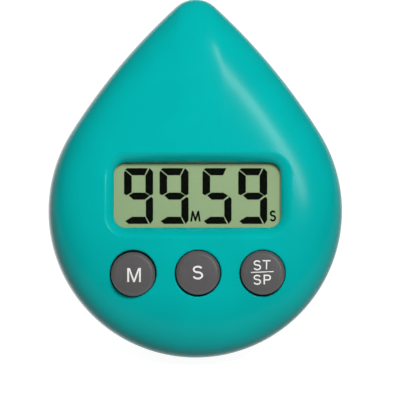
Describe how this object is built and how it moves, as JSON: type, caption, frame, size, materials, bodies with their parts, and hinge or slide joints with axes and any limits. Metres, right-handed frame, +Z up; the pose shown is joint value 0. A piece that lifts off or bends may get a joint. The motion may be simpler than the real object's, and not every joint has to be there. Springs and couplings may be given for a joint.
{
  "type": "digital timer",
  "caption": "Drop-shaped digital countdown timer with a domed two-part case, recessed segment display, round push buttons, fold-out back stand and magnets.",
  "frame": {"origin": "middle of the footprint, on the floor the open stand and the case's lower edge stand on", "axes": "+Z up, -Y the way the leaning face looks, +X to the right of someone reading the display"},
  "size_m": [0.07, 0.0578, 0.0748],
  "materials": {
    "teal_abs": "moulded, satin gloss",
    "grey_button_plastic": "moulded, satin, white printed marks",
    "clear_acrylic": "clear, polished",
    "display_glass": "clear, with seven-segment figures",
    "polariser_film": "grey-green film",
    "reflector_film": "silvery film",
    "white_abs": "moulded, plain",
    "striped_rubber": "layered conductive and plain rubber",
    "board_laminate": "green solder mask",
    "black_epoxy": "cured drop of epoxy",
    "tinned_steel": "bright tin",
    "chip_ceramic": "fired ceramic",
    "silicone_rubber": "matt grey",
    "carbon_rubber": "matt black",
    "brass_sheet": "rolled sheet",
    "piezo_ceramic": "fired, silvered",
    "cell_steel": "nickel-plated can",
    "magnet_nickel": "nickel-plated disc",
    "screw_steel": "zinc-plated",
    "red_wire": "insulated wire",
    "black_wire": "insulated wire"
  },
  "bodies": {
    "case": {"front_shell": "teal_abs", "back_shell": "teal_abs", "display_window": "clear_acrylic", "display_polariser": "polariser_film", "display_front_glass": "display_glass", "display_rear_glass": "display_glass", "display_reflector": "reflector_film", "display_frame": "white_abs", "zebra_strip": "striped_rubber", "main_board": "board_laminate", "controller_blob": "black_epoxy", "quartz_crystal": "tinned_steel", "chip_capacitor_1": "chip_ceramic", "chip_capacitor_2": "chip_ceramic", "chip_resistor_1": "black_epoxy", "chip_resistor_2": "black_epoxy", "keypad_mat": "silicone_rubber", "buzzer_plate": "brass_sheet", "buzzer_ceramic": "piezo_ceramic", "button_cell": "cell_steel", "negative_contact": "tinned_steel", "positive_contact": "tinned_steel", "magnet_1": "magnet_nickel", "magnet_2": "magnet_nickel", "case_screw_1": "screw_steel", "case_screw_2": "screw_steel", "case_screw_3": "screw_steel", "case_screw_4": "screw_steel", "board_screw_1": "screw_steel", "board_screw_2": "screw_steel", "board_screw_3": "screw_steel", "negative_lead": "black_wire", "positive_lead": "red_wire", "buzzer_lead_1": "red_wire", "buzzer_lead_2": "black_wire"},
    "minute_key": {"minute_button": "grey_button_plastic", "minute_pill": "carbon_rubber"},
    "second_key": {"second_button": "grey_button_plastic", "second_pill": "carbon_rubber"},
    "start_stop_key": {"start_stop_button": "grey_button_plastic", "start_stop_pill": "carbon_rubber"},
    "stand": {"stand": "teal_abs"},
    "battery_door": {"battery_door": "teal_abs"}
  },
  "joints": [
    {"name": "minute_press", "type": "slide", "parent": "case", "child": "minute_key", "axis": [0, 0.8236, -0.5672], "range_m": [0, 0.0008], "stiffness_N_per_m": 1000, "springref_m": -0.0004, "deforming": ["keypad_mat"]},
    {"name": "second_press", "type": "slide", "parent": "case", "child": "second_key", "axis": [0, 0.8236, -0.5672], "range_m": [0, 0.0008], "stiffness_N_per_m": 1000, "springref_m": -0.0004, "deforming": ["keypad_mat"]},
    {"name": "start_stop_press", "type": "slide", "parent": "case", "child": "start_stop_key", "axis": [0, 0.8236, -0.5672], "range_m": [0, 0.0008], "stiffness_N_per_m": 1000, "springref_m": -0.0004, "deforming": ["keypad_mat"]},
    {"name": "stand_fold", "type": "hinge", "parent": "case", "child": "stand", "pos_m": [0, 0.00945, 0.04129], "axis": [1, 0, 0], "range_deg": [-47, 0]},
    {"name": "battery_door_turn", "type": "hinge", "parent": "case", "child": "battery_door", "pos_m": [0, 0.01977, 0.0524], "axis": [0, -0.8236, 0.5672], "range_deg": [0, 60]}
  ]
}
